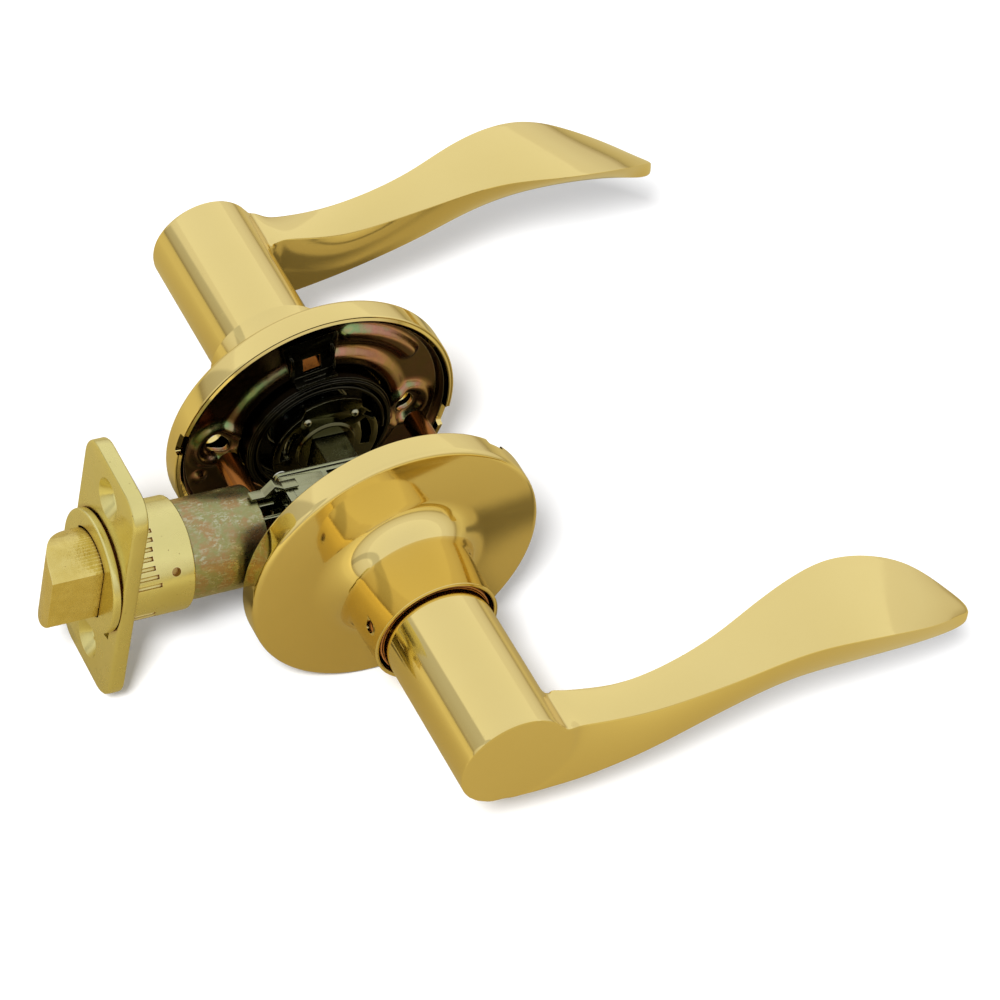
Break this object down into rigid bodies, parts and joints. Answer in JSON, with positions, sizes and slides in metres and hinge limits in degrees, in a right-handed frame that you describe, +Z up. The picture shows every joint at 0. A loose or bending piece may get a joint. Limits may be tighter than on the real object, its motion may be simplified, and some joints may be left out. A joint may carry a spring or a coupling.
{
  "type": "lever handle lockset",
  "caption": "Passage door lockset: lever handles on round roses either side of a door, joined by a square spindle that draws a tubular spring latch back.",
  "frame": {"origin": "middle of the whole set: mid door thickness, at the height of the spindle, halfway between the latch bolt's tip and the levers' tips", "axes": "Y along the spindle, the rear half at +Y; the latch bolt points to -X and the levers to +X; Z up"},
  "size_m": [0.1842, 0.1648, 0.0648],
  "materials": {
    "polished_brass": "polished",
    "worn_brass": "cast and lightly worn",
    "dichromate_steel": "yellow dichromate plating",
    "galvanised_steel": "galvanised",
    "black_steel": "black oxide",
    "olive_steel": "dark olive plating",
    "bright_steel": "bright zinc",
    "copper_steel": "copper-coloured plating",
    "brown_nylon": "moulded"
  },
  "bodies": {
    "mounting": {"front_rose": "polished_brass", "front_mounting_plate": "dichromate_steel", "front_spring_housing": "black_steel", "front_torsion_spring": "black_steel", "front_collar_bush": "brown_nylon", "front_rose_clip": "black_steel", "rear_rose": "polished_brass", "rear_mounting_plate": "dichromate_steel", "rear_spring_housing": "black_steel", "rear_torsion_spring": "black_steel", "rear_collar_bush": "brown_nylon", "rear_rose_clip": "black_steel", "threaded_post_left": "copper_steel", "threaded_post_right": "copper_steel"},
    "front_handle": {"front_lever": "polished_brass", "front_drive_sleeve": "bright_steel", "front_driver_plate": "olive_steel", "front_driver_rivet_left": "bright_steel", "front_driver_rivet_right": "bright_steel", "front_retaining_ring": "bright_steel"},
    "rear_handle": {"rear_lever": "polished_brass", "rear_drive_sleeve": "bright_steel", "rear_driver_plate": "olive_steel", "rear_driver_rivet_left": "bright_steel", "rear_driver_rivet_right": "bright_steel", "rear_retaining_ring": "bright_steel"},
    "front_catch": {"front_lever_catch": "bright_steel"},
    "rear_catch": {"rear_lever_catch": "bright_steel"},
    "spindle": {"spindle": "galvanised_steel"},
    "latch_case": {"faceplate": "worn_brass", "latch_collar": "worn_brass", "latch_tube": "dichromate_steel", "latch_case_body": "galvanised_steel", "latch_case_cover": "galvanised_steel", "case_rivet_1": "bright_steel", "case_rivet_2": "bright_steel", "case_rivet_3": "bright_steel", "case_rivet_4": "bright_steel", "spring_seat": "bright_steel", "bolt_spring": "bright_steel", "tail_clip": "bright_steel"},
    "latch_hub": {"latch_hub": "galvanised_steel"},
    "retractor": {"retractor": "galvanised_steel"},
    "bolt": {"latch_bolt": "worn_brass", "bolt_tail": "galvanised_steel"}
  },
  "joints": [
    {"name": "front_lever_turn", "type": "hinge", "parent": "mounting", "child": "front_handle", "pos_m": [-0.01895, 0, 0], "axis": [0, 1, 0], "range_deg": [0, 60], "stiffness_Nm_per_rad": 0.8, "springref_deg": -51.57, "deforming": ["front_torsion_spring"]},
    {"name": "rear_lever_turn", "type": "hinge", "parent": "mounting", "child": "rear_handle", "pos_m": [-0.01895, 0, 0], "axis": [0, 1, 0], "range_deg": [0, 60], "stiffness_Nm_per_rad": 0.8, "springref_deg": -51.57, "deforming": ["rear_torsion_spring"]},
    {"name": "spindle_turn", "type": "hinge", "parent": "mounting", "child": "spindle", "pos_m": [-0.01895, 0, 0], "axis": [0, 1, 0], "range_deg": [0, 60]},
    {"name": "latch_float", "type": "slide", "parent": "mounting", "child": "latch_case", "axis": [0, 1, 0], "range_m": [0, 0.0116]},
    {"name": "latch_hub_turn", "type": "hinge", "parent": "latch_case", "child": "latch_hub", "pos_m": [-0.01895, -0.0059, 0], "axis": [0, 1, 0], "range_deg": [0, 60]},
    {"name": "retractor_slide", "type": "slide", "parent": "latch_case", "child": "retractor", "axis": [1, 0, 0], "range_m": [0, 0.0112], "deforming": ["bolt_spring"]},
    {"name": "bolt_push", "type": "slide", "parent": "retractor", "child": "bolt", "axis": [1, 0, 0], "range_m": [0, 0.011], "stiffness_N_per_m": 250, "springref_m": -0.02, "deforming": ["bolt_spring"]},
    {"name": "front_catch_press", "type": "slide", "parent": "front_handle", "child": "front_catch", "axis": [1, 0, 0], "range_m": [0, 0.0024], "stiffness_N_per_m": 400, "springref_m": -0.003},
    {"name": "rear_catch_press", "type": "slide", "parent": "rear_handle", "child": "rear_catch", "axis": [1, 0, 0], "range_m": [0, 0.0024], "stiffness_N_per_m": 400, "springref_m": -0.003}
  ],
  "couplings": [
    {"joint": "rear_lever_turn", "follows": "front_lever_turn", "ratio": 1},
    {"joint": "spindle_turn", "follows": "front_lever_turn", "ratio": 1},
    {"joint": "latch_hub_turn", "follows": "front_lever_turn", "ratio": 1},
    {"joint": "retractor_slide", "follows": "front_lever_turn", "m_per_rad": 0.01069}
  ]
}
